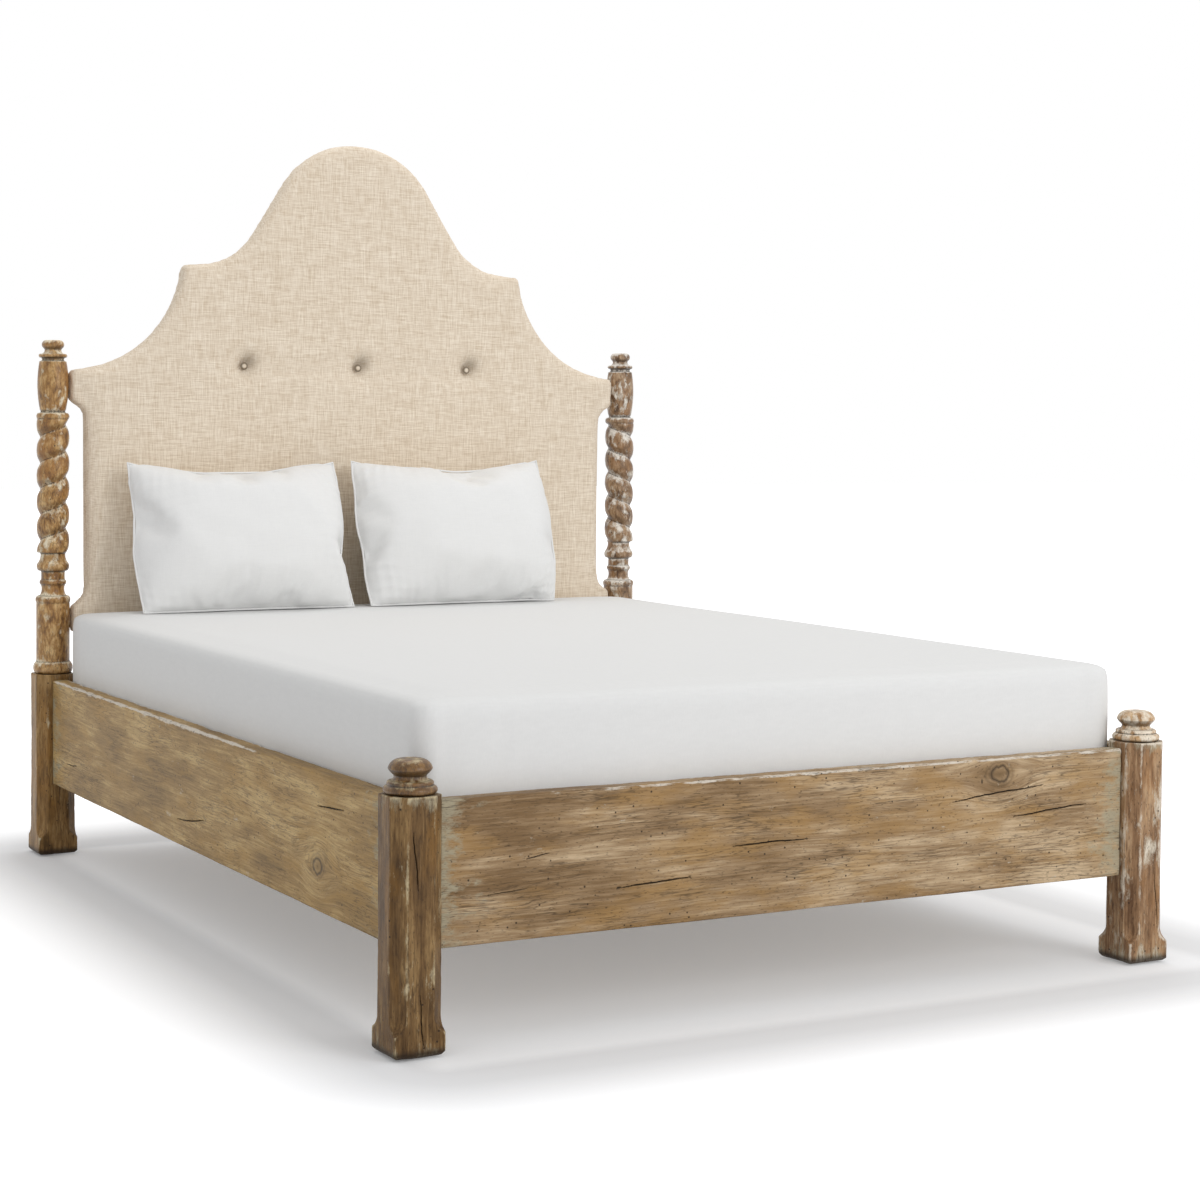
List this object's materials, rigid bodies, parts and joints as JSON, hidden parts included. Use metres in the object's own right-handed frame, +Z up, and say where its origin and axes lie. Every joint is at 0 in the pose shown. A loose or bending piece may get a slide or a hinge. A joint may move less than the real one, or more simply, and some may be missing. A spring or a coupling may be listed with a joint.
{
  "type": "poster bed",
  "caption": "Poster bed with barley-twist head posts, a buttoned arched linen headboard, weathered plank rails on hook plates, a slat deck on levelling feet, a mattress and pillows.",
  "frame": {"origin": "on the floor, midway between the four legs", "axes": "+X across the bed to the right as seen from the foot, +Y from foot to head, +Z up"},
  "size_m": [1.706, 2.248, 1.801],
  "materials": {
    "post_wood": "brown stained wood with worn whitewash",
    "plank_wood": "weathered plank, waxed, with grey patina",
    "pine": "planed softwood",
    "plywood": "sanded plywood",
    "dowel_wood": "beech dowel",
    "foam": "polyurethane foam",
    "linen": "slubby natural linen weave",
    "dust_cloth": "black spun-bonded dust cloth",
    "cord": "waxed tufting twine",
    "zinc_steel": "zinc-plated steel",
    "nylon": "black nylon",
    "mattress_ticking": "white mattress ticking",
    "cotton_sheet": "white cotton percale",
    "pillow_cotton": "white cotton with a corded seam"
  },
  "bodies": {
    "bed_frame": {"beam_cleat_foot": "pine", "beam_cleat_head": "pine", "centre_beam": "pine", "centre_leg_bolts": "zinc_steel", "centre_leg_foot": "pine", "centre_leg_head": "pine", "cleat_screws": "zinc_steel", "foot_finial_left": "post_wood", "foot_finial_right": "post_wood", "foot_leg_left": "post_wood", "foot_leg_right": "post_wood", "foot_rail": "plank_wood", "head_leg_left": "post_wood", "head_leg_right": "post_wood", "head_rail": "plank_wood", "head_turning_left": "post_wood", "head_turning_right": "post_wood", "headboard_back_cover": "dust_cloth", "headboard_core": "plywood", "headboard_cover": "linen", "headboard_dowels": "dowel_wood", "headboard_pad": "foam", "hook_plate_screws": "zinc_steel", "ledger_left": "pine", "ledger_right": "pine", "ledger_screws": "zinc_steel", "leg_glides": "nylon", "leveller_inserts": "zinc_steel", "rail_hook_plates": "zinc_steel", "rail_slot_plates": "zinc_steel", "side_rail_left": "plank_wood", "side_rail_right": "plank_wood", "slat_01": "pine", "slat_02": "pine", "slat_03": "pine", "slat_04": "pine", "slat_05": "pine", "slat_06": "pine", "slat_07": "pine", "slat_08": "pine", "slat_09": "pine", "slat_10": "pine", "slat_11": "pine", "slat_12": "pine", "slat_screws": "zinc_steel", "slot_plate_screws": "zinc_steel", "tuft_anchors": "zinc_steel", "tuft_button_centre": "linen", "tuft_button_left": "linen", "tuft_button_right": "linen", "tuft_cords": "cord"},
    "mattress": {"mattress": "mattress_ticking", "fitted_sheet": "cotton_sheet"},
    "left_pillow": {"pillow_left": "pillow_cotton"},
    "right_pillow": {"pillow_right": "pillow_cotton"},
    "foot_leveller": {"leveller_foot": "nylon"},
    "head_leveller": {"leveller_head": "nylon"}
  },
  "joints": [
    {"name": "mattress_lift", "type": "slide", "parent": "bed_frame", "child": "mattress", "axis": [0, 0, 1], "range_m": [0, 0.3]},
    {"name": "left_pillow_lift", "type": "slide", "parent": "mattress", "child": "left_pillow", "axis": [0, 0, 1], "range_m": [0, 0.4]},
    {"name": "right_pillow_lift", "type": "slide", "parent": "mattress", "child": "right_pillow", "axis": [0, 0, 1], "range_m": [0, 0.4]},
    {"name": "foot_leveller_travel", "type": "slide", "parent": "bed_frame", "child": "foot_leveller", "axis": [0, 0, 1], "range_m": [0, 0.01]},
    {"name": "head_leveller_travel", "type": "slide", "parent": "bed_frame", "child": "head_leveller", "axis": [0, 0, 1], "range_m": [0, 0.01]}
  ]
}
